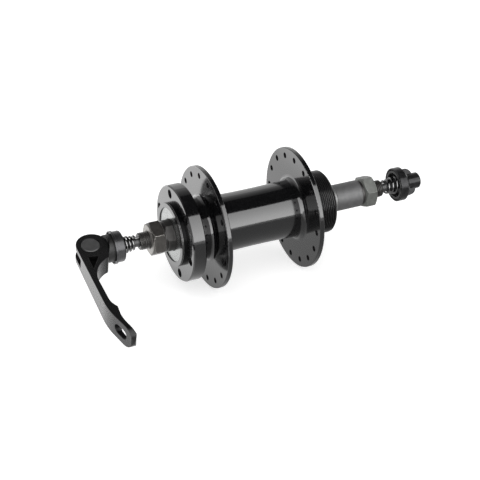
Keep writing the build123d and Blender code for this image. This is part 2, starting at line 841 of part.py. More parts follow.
make_cap()
make_nut()
make_nut_ring()
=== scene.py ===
"""Looks of a bicycle rear hub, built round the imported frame.

Row frame in metres: origin midway between the locknut faces, +Y along the axle to the rotor side, +Z up.
The hub's named lengths are in millimetres, the camera's and the stage's in metres, and angles in degrees.
"""
import math

import bmesh
import bpy
from mathutils import Matrix, Vector, geometry


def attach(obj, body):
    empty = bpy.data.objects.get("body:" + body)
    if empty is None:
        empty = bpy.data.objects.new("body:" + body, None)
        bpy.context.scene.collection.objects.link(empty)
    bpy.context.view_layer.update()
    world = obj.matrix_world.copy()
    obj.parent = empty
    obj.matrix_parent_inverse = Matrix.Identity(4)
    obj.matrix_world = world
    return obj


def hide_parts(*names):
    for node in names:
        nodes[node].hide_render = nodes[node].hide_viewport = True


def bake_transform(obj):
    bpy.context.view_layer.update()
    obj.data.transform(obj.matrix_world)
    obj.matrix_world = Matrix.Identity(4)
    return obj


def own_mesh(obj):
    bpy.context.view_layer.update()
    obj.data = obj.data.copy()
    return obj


MM = 0.001

# Camera, from the fit of the photo's flange rims and hole circles, with its lens in millimetres
CAMERA_PLACE = (-0.6076, 0.2914, 0.3727)
CAMERA_RIGHT = (-0.4155, -0.9096, -0.0002)
CAMERA_FORWARD = (0.7877, -0.3597, -0.5001)
CAMERA_LENS = 105.58
CAMERA_SENSOR = 36.0
CLIP_NEAR = 0.05
CLIP_FAR = 60.0

# Stage
FLOOR_Z = -33.75 * MM
FLOOR_REACH = 8.0
FLOOR_GREY = (0.86, 0.86, 0.86)
FLOOR_STRENGTH = 0.62
WHITE = (1.0, 1.0, 1.0)
ROOM_STRENGTH = 0.55
BACKDROP_STRENGTH = 1.0
LAMP_PLACE = (-0.7, 0.3, 1.1)
LAMP_SIZE = (1.6, 1.2)
LAMP_POWER = 7.0

# Reflection cards round the axle: their edges' angles from +Z towards +X, and their distance from it
SOFT_BOX_FRONT = -88.2
SOFT_BOX_TOP = -28.0
DARK_CARD_BACK = 30.0
FADE_CARD_BACK = 70.0
FADE_CARD_REACH = 1.2
CARD_DISTANCE = 1.0
CARD_HALF_LENGTH = 2.2
FLOOR_SHEET_FRONT = -0.5
FLOOR_SHEET_BACK = 1.5

# Lever: its pivot's place along the axle and how far the lever hangs below level
PIVOT_Y = 99.8
LEVER_DROOP = 12.5
# Its pocket: corners from the pivot, along the lever and the axle, and its floor from the middle plane
POCKET_CORNERS = ((8.0, 4.2), (9.3, -1.3), (18.0, 4.5))
POCKET_FLOOR = 1.95
# How much wider and deeper than that its faces are looked for
POCKET_STRETCH = 1.02
POCKET_SLACK = 0.1

# Axle, with places along it measured from the middle
AXLE_END = 73.0
AXLE_SHOULDER = 67.6
AXLE_RADIUS = 4.75
AXLE_PLAIN_RADIUS = 4.5
AXLE_BORE = 2.75
AXLE_MOUTH = 0.25
AXLE_CHAMFER = 0.6
AXLE_PITCH = 25.4 / 26
AXLE_THREAD_DEPTH = 0.52
LOCKNUT_FACE = 67.5

# Springs: wire, the seats of their large ends along the axle, and the straight foot and bend at each end
WIRE_RADIUS = 0.575
WIRE_SIDES = 20
WIRE_END_ROUND = 0.28
SMALL_END_RADIUS = 3.25
CAP_END_RADIUS = 4.3
NUT_END_RADIUS = 4.75
CAP_SEAT = 83.35
NUT_SEAT = 84.5
SEAT_GAP = 0.1
FOOT = 1.15
BEND_RADIUS = 1.0
COIL_TURNS = 3
STOPS_PER_TURN = 4
CURVE_STEPS = 14
# Handle of a cubic curve that follows a quarter circle, as a share of the quarter's chord
QUARTER_HANDLE = 0.3905

# A thread's form, as shares of half its pitch: half its root flat, and one flank
ROOT_FLAT = 0.10
FLANK = 0.74
STATIONS_PER_TURN = 12

# Freewheel thread: it stops short of its seat's ends by a gap and goes on under its root by a skin
FREEWHEEL_RADIUS = 17.45
FREEWHEEL_PITCH = 25.4 / 24
FREEWHEEL_DEPTH = 0.6
FREEWHEEL_FROM = -36.8
FREEWHEEL_TO = -22.6
FREEWHEEL_CHAMFER = 0.8
FREEWHEEL_END_GAP = 0.05
FREEWHEEL_SKIN = 0.35

# Rotor flange and its pilot ring, whose wall is looked for this far off its radius and below its foot
ROTOR_FACE = 52.2
ROTOR_BACK = 44.7
PILOT_RADIUS = 17.45
# Where along the axle the pilot wall's grey crests, a painted highlight, begin
PILOT_HIGHLIGHT_FROM = 53.9
PILOT_EDGE = 0.3
PILOT_FOOT = 0.2
# Its tapped holes, whose thread goes on into the metal by a skin
ROTOR_HOLES = 6
ROTOR_HOLE_CIRCLE = 22.0
ROTOR_HOLE_TURN = 15.0
ROTOR_HOLE_RADIUS = 2.5
ROTOR_HOLE_PITCH = 0.8
ROTOR_HOLE_DEPTH = 0.42
ROTOR_HOLE_SKIN = 0.04
ROTOR_THREAD_FROM = ROTOR_FACE - 0.35
ROTOR_THREAD_TO = ROTOR_BACK + 0.3

# Spoke holes, and of each flange face its place along the axle, the way into the metal and its holes' turn
SPOKE_HOLES = 16
SPOKE_CIRCLE = 29.3
SPOKE_HOLE_RADIUS = 1.3
SPOKE_FACES = ((35.65, -1, 9.4), (33.05, 1, 9.4), (-17.8, -1, 20.65), (-20.4, 1, 20.65))
COUNTERSINK = 0.35
COUNTERSINK_SKIN = 0.1

# How far a vertex may lie off the surface it belongs to, and how far past its ends a surface is looked for
TOUCH = 0.01
PAST_END = 0.1
# A face is square to the axle when this much of its normal is along it
SQUARE_TO_AXLE = 0.9
# How much faster turning marks follow each other across a face than along the axle
FACE_MARKS = 1.37

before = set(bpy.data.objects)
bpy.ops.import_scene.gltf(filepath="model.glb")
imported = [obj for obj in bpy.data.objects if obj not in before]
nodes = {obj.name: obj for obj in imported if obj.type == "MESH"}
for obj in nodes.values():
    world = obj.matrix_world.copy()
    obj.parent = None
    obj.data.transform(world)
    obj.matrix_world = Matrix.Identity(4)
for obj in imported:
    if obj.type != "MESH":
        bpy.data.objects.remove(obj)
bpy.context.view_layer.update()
scene = bpy.context.scene


def add_object(name, data):
    """A new object of the scene."""
    obj = bpy.data.objects.new(name, data)
    scene.collection.objects.link(obj)
    return obj


# Camera
def make_camera():
    """The photo's camera."""
    data = bpy.data.cameras.new("camera")
    data.lens = CAMERA_LENS
    data.sensor_width = CAMERA_SENSOR
    data.clip_start = CLIP_NEAR
    data.clip_end = CLIP_FAR
    forward = Vector(CAMERA_FORWARD).normalized()
    up = Vector(CAMERA_RIGHT).normalized().cross(forward).normalized()
    right = forward.cross(up).normalized()
    turn = Matrix((right, up, -forward)).transposed()
    camera = add_object("camera", data)
    camera.matrix_world = Matrix.Translation(CAMERA_PLACE) @ turn.to_4x4()
    scene.camera = camera


# Shader helpers
class NodeTree:
    """A node tree with short ways to add and join nodes. An input takes a socket, a number or a colour."""

    def __init__(self, tree, output):
        self.tree = tree
        self.tree.nodes.clear()
        self.output = self.add(output)

    def add(self, kind, **settings):
        """A new node with its settings."""
        node = self.tree.nodes.new(kind)
        for key, value in settings.items():
            setattr(node, key, value)
        return node

    def link(self, source, target):
        """Join an output socket to an input socket."""
        self.tree.links.new(source, target)

    def feed(self, socket, value):
        """Link an input socket to a socket, or set it to a number or a colour."""
        if isinstance(value, bpy.types.NodeSocket):
            self.link(value, socket)
        elif isinstance(value, tuple):
            socket.default_value = (*value, 1.0)
        else:
            socket.default_value = value

    def fill(self, node, **values):
        """Feed a node's inputs by their names, with an underscore for each space."""
        for key, value in values.items():
            self.feed(node.inputs[key.replace("_", " ")], value)

    def show(self, surface):
        """Make a shader the tree's surface."""
        self.link(surface, self.output.inputs["Surface"])

    def math(self, operation, first, second=0.0, clamp=False):
        """The result of one operation on one or two values."""
        node = self.add("ShaderNodeMath", operation=operation, use_clamp=clamp)
        self.feed(node.inputs[0], first)
        self.feed(node.inputs[1], second)
        return node.outputs[0]

    def product(self, first, *others):
        """Values multiplied together."""
        for other in others:
            first = self.math("MULTIPLY", first, other)
        return first

    def seen_directly(self):
        """1 for camera, glossy and transmission rays and 0 for the others."""
        path = self.add("ShaderNodeLightPath")
        seen = self.math("ADD", path.outputs["Is Camera Ray"], path.outputs["Is Glossy Ray"])
        return self.math("ADD", seen, path.outputs["Is Transmission Ray"], clamp=True)


class Shader(NodeTree):
    """A new material and its node tree."""

    def __init__(self, name):
        self.material = bpy.data.materials.new(name)
        self.material.use_nodes = True
        super().__init__(self.material.node_tree, "ShaderNodeOutputMaterial")

    def ramp(self, value, low, high, to_low=0.0, to_high=1.0):
        """Map a value smoothly from one range to another."""
        node = self.add("ShaderNodeMapRange", interpolation_type="SMOOTHSTEP")
        self.fill(node, Value=value, From_Min=low, From_Max=high, To_Min=to_low, To_Max=to_high)
        return node.outputs["Result"]

    def spot(self):
        """Position in the row frame in millimetres."""
        node = self.add("ShaderNodeVectorMath", operation="SCALE")
        self.link(self.add("ShaderNodeTexCoord").outputs["Object"], node.inputs[0])
        self.fill(node, Scale=1 / MM)
        return node.outputs["Vector"]

    def split(self, vector):
        """The X, Y and Z of a vector."""
        node = self.add("ShaderNodeSeparateXYZ")
        self.link(vector, node.inputs[0])
        return node.outputs

    def noise(self, spot, scale, detail=3.0, roughness=0.55):
        """Cloudy noise from 0 to 1 over a position."""
        node = self.add("ShaderNodeTexNoise")
        self.fill(node, Vector=spot, Scale=scale, Detail=detail, Roughness=roughness)
        return node.outputs["Fac"]

    def turned_rings(self, spot, scale):
        """Noise in fine rings left by turning, the same all the way round the axle."""
        x, y, z = self.split(spot)
        square = self.math("ADD", self.product(x, x), self.product(z, z))
        across = self.product(self.math("SQRT", square), FACE_MARKS)
        node = self.add("ShaderNodeTexNoise", noise_dimensions="1D")
        self.fill(node, W=self.math("ADD", y, across), Scale=scale, Detail=4.0, Roughness=0.7)
        return node.outputs["Fac"]

    def mix(self, factor, first, second):
        """A colour between two colours."""
        node = self.add("ShaderNodeMix", data_type="RGBA")
        self.fill(node, Factor=factor, A=first, B=second)
        return node.outputs["Result"]

    def bump(self, height, depth, strength=1.0, normal=None):
        """A normal over a height from 0 to 1 that stands for a depth in millimetres."""
        node = self.add("ShaderNodeBump")
        self.fill(node, Height=height, Distance=depth * MM, Strength=strength)
        if normal is not None:
            self.link(normal, node.inputs["Normal"])
        return node.outputs["Normal"]

    def edges(self, radius, low=0.02, high=0.25):
        """A mask that is 1 along sharp edges and 0 away from them, and a normal rounded over them."""
        bevel = self.add("ShaderNodeBevel", samples=6)
        self.fill(bevel, Radius=radius * MM)
        rounded = bevel.outputs["Normal"]
        dot = self.add("ShaderNodeVectorMath", operation="DOT_PRODUCT")
        self.link(rounded, dot.inputs[0])
        self.link(self.add("ShaderNodeNewGeometry").outputs["Normal"], dot.inputs[1])
        bend = self.math("SUBTRACT", 1.0, dot.outputs["Value"])
        return self.ramp(bend, low, high), rounded

    def wave(self, value, period):
        """A wave from 0 to 1 along a value."""
        turn = self.math("SINE", self.product(value, 2 * math.pi / period))
        return self.math("ADD", self.product(turn, 0.5), 0.5)

    def principled(self, **values):
        """Make a Principled shader with these inputs the surface."""
        node = self.add("ShaderNodeBsdfPrincipled")
        self.fill(node, **values)
        self.show(node.outputs[0])

    def emission(self, strength):
        """A light of a strength."""
        node = self.add("ShaderNodeEmission")
        self.fill(node, Strength=strength)
        return node.outputs[0]


# Materials
def grey(tone):
    """A colour with one tone in all its channels."""
    return (tone, tone, tone)


def gloss_black():
    """The shell's deep gloss, with the faintest rings of turning."""
    s = Shader("gloss_black_anodised")
    spot = s.spot()
    dust = s.noise(spot, 0.9, detail=5.0)
    s.principled(
        Base_Color=s.mix(s.ramp(dust, 0.35, 0.75), (0.005, 0.005, 0.0055), (0.009, 0.009, 0.0098)),
        Roughness=s.ramp(dust, 0.3, 0.8, 0.09, 0.13),
        IOR=1.6,
        Normal=s.bump(s.turned_rings(spot, 3.0), 0.0008),
    )
    return s.material


def machined_black(name, ior, roughness, period, depth, wear_and_highlight_tone, bare_and_highlight_metal, highlight_from=None):
    """Black anodising over a cutter's grooves, with grey, partly metallic crests: wear on the freewheel
    seat, a painted highlight on the pilot's wall.

    The crests are grey all along, or only from a place along the axle on.
    """
    s = Shader(name)
    spot = s.spot()
    y = s.split(spot)["Y"]
    grain = s.noise(spot, 2.5, detail=4.0)
    grooves = s.wave(y, period)
    # Grey, partly metallic crests: a painted highlight on the pilot's wall, wear on the freewheel seat's
    # thread
    crest = s.product(s.ramp(grooves, 0.7, 0.95), s.ramp(grain, 0.25, 0.6, 0.5, 1.0))
    # Only from a place along the axle on: the pilot wall's painted highlight
    if highlight_from is not None:
        crest = s.product(crest, s.ramp(y, highlight_from - 0.3, highlight_from + 0.3))
    s.principled(
        Base_Color=s.mix(crest, (0.004, 0.004, 0.0044), grey(wear_and_highlight_tone)),
        Metallic=s.product(crest, bare_and_highlight_metal) if bare_and_highlight_metal else 0.0,
        Roughness=s.ramp(grain, 0.3, 0.75, roughness, roughness + 0.08),
        IOR=ior,
        Normal=s.bump(grooves, depth),
    )
    return s.material


def satin_black():
    """The lever's satin black, dull on its sides, with its edges painted lighter as a highlight line."""
    s = Shader("satin_black_lever")
    grain = s.noise(s.spot(), 9.0, detail=4.0, roughness=0.65)
    edge, normal = s.edges(0.45)
    tone = s.mix(s.ramp(grain, 0.3, 0.7), (0.004, 0.004, 0.0043), (0.007, 0.007, 0.0074))
    s.principled(
        # Edges painted lighter: a painted highlight line along them
        Base_Color=s.mix(s.product(edge, 0.4), tone, grey(0.06)),
        Roughness=s.ramp(grain, 0.25, 0.75, 0.24, 0.31),
        IOR=1.27,
        Normal=s.bump(grain, 0.004, 0.5, normal),
    )
    return s.material


def forged_steel(name, low, high, wear_and_highlight_tone, metallic, face_from=None, edge_radius=0.22):
    """Dark oiled steel whose edges are painted bright, as wear on the locknuts and as a painted highlight
    on the skewer nut's ring, and whose outer face is rubbed bright too where that is given.
    """
    s = Shader(name)
    spot = s.spot()
    cloud = s.noise(spot, 0.55, detail=5.0, roughness=0.6)
    grain = s.noise(spot, 7.0)
    edge, normal = s.edges(edge_radius, 0.01, 0.13)
    # Bright edges: wear on the locknuts, a painted highlight on the skewer nut's ring
    wear_and_highlight_mask = s.product(edge, s.ramp(grain, 0.25, 0.6, 0.55, 1.0))
    if face_from is not None:
        outward = s.math("ABSOLUTE", s.split(spot)["Y"])
        face = s.ramp(outward, face_from - 0.25, face_from + 0.05)
        wear_and_highlight_mask = s.math("MAXIMUM", wear_and_highlight_mask, s.product(face, s.ramp(cloud, 0.3, 0.7, 0.35, 0.6)))
    s.principled(
        Base_Color=s.mix(wear_and_highlight_mask, s.mix(s.ramp(cloud, 0.3, 0.7), low, high), wear_and_highlight_tone),
        Metallic=metallic,
        Roughness=s.ramp(cloud, 0.3, 0.7, 0.36, 0.46),
        Normal=s.bump(grain, 0.003, 0.4, normal),
    )
    return s.material


def turned_steel(name, low, high, roughness, metallic, ior=1.5):
    """Steel with the fine rings of turning, and its edges painted lighter as a highlight."""
    s = Shader(name)
    spot = s.spot()
    cloud = s.noise(spot, 0.4, detail=4.0)
    rings = s.turned_rings(spot, 2.5)
    edge, normal = s.edges(0.2)
    tone = s.mix(s.ramp(cloud, 0.3, 0.7), low, high)
    # Edges painted lighter: a painted highlight
    edge_highlight_tone = tuple(c * 1.9 + 0.08 for c in high)
    s.principled(
        Base_Color=s.mix(s.product(edge, 0.5), tone, edge_highlight_tone),
        Metallic=metallic,
        IOR=ior,
        Roughness=s.ramp(rings, 0.3, 0.7, *roughness),
        Normal=s.bump(rings, 0.0006, 0.5, normal),
    )
    return s.material


def grained_black(name, low, high, roughness, ior, scale, detail, depth):
    """Dull black with a fine grain between two tones."""
    s = Shader(name)
    grain = s.noise(s.spot(), scale, detail=detail)
    s.principled(
        Base_Color=s.mix(s.ramp(grain, 0.3, 0.7), low, high),
        Roughness=s.ramp(grain, 0.3, 0.7, *roughness),
        IOR=ior,
        Normal=s.bump(grain, depth, 0.5),
    )
    return s.material


def paint_pocket_shade(material):
    """Give the faces of the lever's pocket, on both its sides, a darker material of their own: painted
    shade in the pocket.
    """
    mesh = nodes["cam_lever"].data
    mesh.materials.append(material)
    droop = math.radians(LEVER_DROOP)
    along = Vector((-math.cos(droop), 0.0, -math.sin(droop)))
    square = Vector((math.sin(droop), 0.0, -math.cos(droop)))
    corners = [Vector(c) for c in POCKET_CORNERS]
    middle = sum(corners, Vector((0.0, 0.0))) / 3
    outline = [middle + (c - middle) * POCKET_STRETCH for c in corners]
    for face in mesh.polygons:
        spots = [mesh.vertices[i].co / MM for i in face.vertices]
        flat = [Vector((p.dot(along), p.y - PIVOT_Y)) for p in spots]
        inside = all(geometry.intersect_point_tri_2d(p, *outline) for p in flat)
        if inside and min(abs(p.dot(square)) for p in spots) < POCKET_FLOOR + POCKET_SLACK:
            face.material_index = 1


# Meshes
def unit_round(angle):
    """Direction square to the axle at an angle in radians from +Z towards +X."""
    return Vector((math.sin(angle), 0.0, math.cos(angle)))


def unit_along(angle):
    """Direction that goes round the axle at an angle in radians from +Z towards +X."""
    return Vector((math.cos(angle), 0.0, -math.sin(angle)))


def bridge(bm, rings):
    """Join each ring of vertices to the next with faces."""
    for one, two in zip(rings, rings[1:]):
        for k in range(len(one)):
            n = (k + 1) % len(one)
            bm.faces.new((one[k], one[n], two[n], two[k]))


def finish_mesh(name, bm, material, smooth_under=40.0):
    """Turn a bmesh into an object of one material whose faces are smooth under an angle."""
    bmesh.ops.recalc_face_normals(bm, faces=bm.faces)
    mesh = bpy.data.meshes.new(name)
    bm.to_mesh(mesh)
    bm.free()
    mesh.shade_smooth()
    mesh.set_sharp_from_angle(angle=math.radians(smooth_under))
    mesh.materials.append(material)
    return add_object(name, mesh)


# Springs
def cubic(start, start_heading, end, end_heading):
    """Points of the smooth curve between two points that have headings, without its last point."""
    reach = (end - start).length * QUARTER_HANDLE
    a, b, c, d = start, start + start_heading * reach, end - end_heading * reach, end
    points = []
    for step in range(CURVE_STEPS):
        t = step / CURVE_STEPS
        u = 1.0 - t
        points.append(a * u**3 + b * (3 * u * u * t) + c * (3 * u * t * t) + d * t**3)
    return points


def spring_path(side, large_seat, large_radius):
    """Centre line of a conical spring from the axle's end, with a straight foot at each of its ends."""
    axial = Vector((0.0, side, 0.0))
    low = AXLE_END + SEAT_GAP
    high = large_seat - SEAT_GAP
    helix_start = low + FOOT + BEND_RADIUS
    helix_end = high - FOOT - BEND_RADIUS
    sweep = 2 * math.pi * COIL_TURNS
    growth = (large_radius - SMALL_END_RADIUS) / sweep
    climb = (helix_end - helix_start) / sweep
    small_angle = -math.atan(BEND_RADIUS / SMALL_END_RADIUS)
    large_angle = sweep + math.atan(BEND_RADIUS / large_radius)
    small_heading = unit_along(small_angle)
    large_heading = unit_along(large_angle)
    foot_start = unit_round(small_angle) * SMALL_END_RADIUS + axial * low
    foot_end = unit_round(large_angle) * large_radius + axial * high
    bend_start = foot_start + axial * FOOT
    bend_end = foot_end - axial * FOOT
    first = bend_start + (axial + small_heading) * BEND_RADIUS
    last = bend_end - (axial + large_heading) * BEND_RADIUS
    stops = [(bend_start, axial), (first, small_heading)]
    for step in range(1, COIL_TURNS * STOPS_PER_TURN):
        angle = sweep * step / (COIL_TURNS * STOPS_PER_TURN)
        radius = SMALL_END_RADIUS + growth * angle
        point = unit_round(angle) * radius + axial * (helix_start + climb * angle)
        heading = unit_along(angle) * radius + unit_round(angle) * growth + axial * climb
        stops.append((point, heading.normalized()))
    stops += [(last, large_heading), (bend_end, axial)]
    points = [foot_start]
    for (start, start_heading), (end, end_heading) in zip(stops, stops[1:]):
        points += cubic(start, start_heading, end, end_heading)
    return points + [bend_end, foot_end]


def make_wire(name, points, material):
    """A round wire along a line of points in millimetres, with rounded-over ends."""
    bm = bmesh.new()
    out = (points[1] - points[0]).normalized().orthogonal().normalized()
    rings = []
    last = len(points) - 1
    for i, point in enumerate(points):
        heading = (points[min(i + 1, last)] - points[max(i - 1, 0)]).normalized()
        out = (out - heading * out.dot(heading)).normalized()
        sideways = heading.cross(out)
        sections = [(point, WIRE_RADIUS)]
        if i in (0, last):
            inward = heading if i == 0 else -heading
            tip = (point, WIRE_RADIUS * (1 - WIRE_END_ROUND))
            full = (point + inward * WIRE_RADIUS * WIRE_END_ROUND, WIRE_RADIUS)
            sections = [tip, full] if i == 0 else [full, tip]
        for centre, radius in sections:
            ring = []
            for k in range(WIRE_SIDES):
                angle = 2 * math.pi * k / WIRE_SIDES
                spot = centre + (out * math.cos(angle) + sideways * math.sin(angle)) * radius
                ring.append(bm.verts.new(spot * MM))
            rings.append(ring)
    bridge(bm, rings)
    bm.faces.new(rings[0][::-1])
    bm.faces.new(rings[-1])
    return finish_mesh(name, bm, material)


def make_springs():
    """Both springs: one stretches between the axle and the skewer, the other closes up with the nut."""
    steel = turned_steel(
        "spring_wire", low=grey(0.10), high=grey(0.15), roughness=(0.13, 0.22), metallic=1.0,
    )
    near = make_wire("rotor_side_spring_coil", spring_path(1, CAP_SEAT, CAP_END_RADIUS), steel)
    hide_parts("rotor_side_spring")
    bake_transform(near)
    far = make_wire("drive_side_spring_coil", spring_path(-1, NUT_SEAT, NUT_END_RADIUS), steel)
    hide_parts("drive_side_spring")
    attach(far, "drive_side_spring_turns")
    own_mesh(far)


# Threads
def thread_radius(major, pitch, depth, y, angle):
    """Radius of a V thread with flat root and crest, at a place along the axle and an angle round it."""
    phase = (y / pitch - angle / (2 * math.pi)) % 1.0
    flank = abs(phase - 0.5) * 2.0
    rise = min(1.0, max(0.0, (flank - ROOT_FLAT) / FLANK))
    return major - depth * (1.0 - rise)


def thread_stations(start, end, pitch, radius_at, ceiling=None):
    """Stations of a thread along the axle. A ceiling holds its radius down near a chamfer."""
    count = int(abs(end - start) / pitch * STATIONS_PER_TURN)
    stations = []
    for step in range(count + 1):
        y = start + (end - start) * step / count

        def radius(angle, y=y):
            size = radius_at(y, angle)
            return size if ceiling is None else min(size, ceiling(y))

        stations.append((y, radius))
    return stations


def add_lathe(bm, profile, segments, centre=Vector((0, 0, 0))):
    """Add a closed solid from stations round a line along the axle.

    Each station is a place along the line and a radius there, or a function that gives it for an angle.
    """
    rings = []
    for y, radius in profile:
        ring = []
        for k in range(segments):
            angle = 2 * math.pi * k / segments
            size = radius(angle) if callable(radius) else radius
            spot = centre + unit_round(angle) * size + Vector((0.0, y, 0.0))
            ring.append(bm.verts.new(spot * MM))
        rings.append(ring)
    bridge(bm, rings + rings[:1])


def axle_end(side):
    """Stations of one threaded axle end, from its shoulder to its face."""
    return thread_stations(
        side * AXLE_SHOULDER, side * AXLE_END, AXLE_PITCH,
        lambda y, angle: thread_radius(AXLE_RADIUS, AXLE_PITCH, AXLE_THREAD_DEPTH, y, angle),
        lambda y: AXLE_RADIUS - max(0.0, AXLE_CHAMFER - (AXLE_END - abs(y))),
    )


def make_axle():
    """The axle with real threads on the two ends that stand out of the locknuts."""
    steel = turned_steel(
        "black_axle_steel", low=(0.030, 0.029, 0.028), high=(0.050, 0.048, 0.046),
        roughness=(0.34, 0.44), metallic=0.5,
    )
    lip = AXLE_BORE + AXLE_MOUTH
    mouth = AXLE_END - AXLE_MOUTH
    profile = axle_end(-1)[::-1]
    profile += [(-AXLE_SHOULDER, AXLE_PLAIN_RADIUS), (AXLE_SHOULDER, AXLE_PLAIN_RADIUS)]
    profile += axle_end(1)
    profile += [(AXLE_END, lip), (mouth, AXLE_BORE), (-mouth, AXLE_BORE), (-AXLE_END, lip)]
    bm = bmesh.new()
    add_lathe(bm, profile, segments=96)
    axle = finish_mesh("axle_threaded", bm, steel)
    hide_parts("axle")
    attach(axle, "axle_assembly")


# Shell
def on_pilot_wall(spot):
    """Whether a point in millimetres lies on the outside of the rotor's pilot ring."""
    off_wall = abs(math.hypot(spot.x, spot.z) - PILOT_RADIUS)
    return off_wall < PILOT_EDGE and spot.y > ROTOR_FACE - PILOT_FOOT


def make_shell_body(gloss, pilot):
    """The shell, cut to the root of its freewheel thread, with a second material on its pilot's wall."""
    mesh = nodes["hub_shell"].data.copy()
    for vertex in mesh.vertices:
        spot = vertex.co
        radius = math.hypot(spot.x, spot.z) / MM
        on_seat = FREEWHEEL_FROM - PAST_END < spot.y / MM < FREEWHEEL_TO + PAST_END
        if on_seat and abs(radius - FREEWHEEL_RADIUS) < TOUCH:
            shrink = (FREEWHEEL_RADIUS - FREEWHEEL_DEPTH) / radius
            vertex.co = (spot.x * shrink, spot.y, spot.z * shrink)
    mesh.materials.clear()
    mesh.materials.append(gloss)
    mesh.materials.append(pilot)
    for face in mesh.polygons:
        face.material_index = int(all(on_pilot_wall(mesh.vertices[i].co / MM) for i in face.vertices))
    body = add_object("hub_shell_body", mesh)
    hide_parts("hub_shell")
    return body


def from_spoke_hole(spot, first):
    """The way to a point from the middle of the nearest spoke hole of a flange, square to the axle."""
    step = 2 * math.pi / SPOKE_HOLES
    nearest = round((math.atan2(spot.x, spot.z) - first) / step)
    return Vector((spot.x, 0.0, spot.z)) - unit_round(first + step * nearest) * SPOKE_CIRCLE


def make_countersinks(mesh, material):
    """Open the spoke holes' mouths in the shell's mesh, and line them with cones."""
    flat = set()
    for face in mesh.polygons:
        if abs(face.normal.y) > SQUARE_TO_AXLE:
            flat.update(face.vertices)
    bm = bmesh.new()
    for face_y, inward, turn in SPOKE_FACES:
        first = math.radians(turn)
        for vertex in mesh.vertices:
            spot = vertex.co / MM
            if abs(spot.y - face_y) > TOUCH:
                continue
            out = from_spoke_hole(spot, first)
            if abs(out.length - SPOKE_HOLE_RADIUS) < 2 * TOUCH:
                opened = out.normalized() * COUNTERSINK
                sunk = Vector((0.0, inward * COUNTERSINK, 0.0))
                vertex.co += (opened if vertex.index in flat else sunk) * MM
        deep = face_y + inward * COUNTERSINK
        mouth = SPOKE_HOLE_RADIUS + COUNTERSINK
        profile = [(face_y, mouth), (deep, SPOKE_HOLE_RADIUS), (deep, mouth + COUNTERSINK_SKIN)]
        for k in range(SPOKE_HOLES):
            angle = first + 2 * math.pi / SPOKE_HOLES * k
            add_lathe(bm, profile, segments=24, centre=unit_round(angle) * SPOKE_CIRCLE)
    return finish_mesh("spoke_hole_countersinks", bm, material, smooth_under=30.0)


def make_freewheel_thread(material):
    """The turns of the freewheel thread, on a ring that goes on a little way under their root."""
    start = FREEWHEEL_FROM + FREEWHEEL_END_GAP
    end = FREEWHEEL_TO - FREEWHEEL_END_GAP
    inner = FREEWHEEL_RADIUS - FREEWHEEL_DEPTH - FREEWHEEL_SKIN
    turns = thread_stations(
        start, end, FREEWHEEL_PITCH,
        lambda y, angle: thread_radius(FREEWHEEL_RADIUS, FREEWHEEL_PITCH, FREEWHEEL_DEPTH, y, angle),
        lambda y: FREEWHEEL_RADIUS - max(0.0, FREEWHEEL_CHAMFER - (y - FREEWHEEL_FROM)),
    )
    bm = bmesh.new()
    add_lathe(bm, turns + [(end, inner), (start, inner)], segments=160)
    return finish_mesh("freewheel_thread", bm, material)


def make_rotor_hole_threads(material):
    """Thread turns that stand in from the walls of the rotor's bolt holes."""
    crest_and_root = 2 * ROTOR_HOLE_RADIUS - ROTOR_HOLE_DEPTH

    # A radius taken from the sum of crest and root turns a bolt's thread into a hole's
    def wall_radius(y, angle):
        outward = thread_radius(ROTOR_HOLE_RADIUS, ROTOR_HOLE_PITCH, ROTOR_HOLE_DEPTH, y, angle)
        return crest_and_root - outward

    outer = ROTOR_HOLE_RADIUS + ROTOR_HOLE_SKIN
    profile = thread_stations(ROTOR_THREAD_FROM, ROTOR_THREAD_TO, ROTOR_HOLE_PITCH, wall_radius)
    profile += [(ROTOR_THREAD_TO, outer), (ROTOR_THREAD_FROM, outer)]
    bm = bmesh.new()
    for k in range(ROTOR_HOLES):
        angle = math.radians(ROTOR_HOLE_TURN + 360 / ROTOR_HOLES * k)
        add_lathe(bm, profile, segments=32, centre=unit_round(angle) * ROTOR_HOLE_CIRCLE)
    return finish_mesh("rotor_hole_threads", bm, material)


def make_shell():
    """The shell's body, its freewheel and rotor threads and its spoke holes' countersinks."""
    # The pilot wall's low IOR darkens it as painted shade, and its grey metallic crests from a place along
    # the axle on are painted highlights.
    pilot = machined_black(
        "pilot_wall_black_painted_shade_and_highlight", ior=1.2, roughness=0.14, period=0.6, depth=0.04, wear_and_highlight_tone=0.4, bare_and_highlight_metal=0.7,
        highlight_from=PILOT_HIGHLIGHT_FROM,
    )
    seat = machined_black(
        "freewheel_seat_black", ior=1.4, roughness=0.2, period=FREEWHEEL_PITCH, depth=0.0, wear_and_highlight_tone=0.045,
        bare_and_highlight_metal=0.3,
    )
    # A low IOR and a near-black tone darken the rotor holes' threads and the spoke countersinks: painted
    # shade in these hollows
    tapped = machined_black(
        "tapped_hole_painted_shade_black", ior=1.15, roughness=0.2, period=ROTOR_HOLE_PITCH, depth=0.0, wear_and_highlight_tone=0.02,
        bare_and_highlight_metal=0.0,
    )
    body = make_shell_body(gloss_black(), pilot)
    sinks = make_countersinks(body.data, tapped)
    thread = make_freewheel_thread(seat)
    holes = make_rotor_hole_threads(tapped)
    for piece in (body, thread, holes, sinks):
        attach(piece, "hub")


# Stage
def plane(name, corners, material):
    """A flat sheet of the stage with four corners, the last two at the top of its UV square."""
    mesh = bpy.data.meshes.new(name)
    mesh.from_pydata(corners, [], [tuple(range(len(corners)))])
    mesh.update()
    uv = mesh.uv_layers.new(name="UVMap")
    for loop, spot in zip(uv.data, ((0, 0), (1, 0), (1, 1), (0, 1))):
        loop.uv = spot
    mesh.materials.append(material)
    obj = add_object(name, mesh)
    return obj


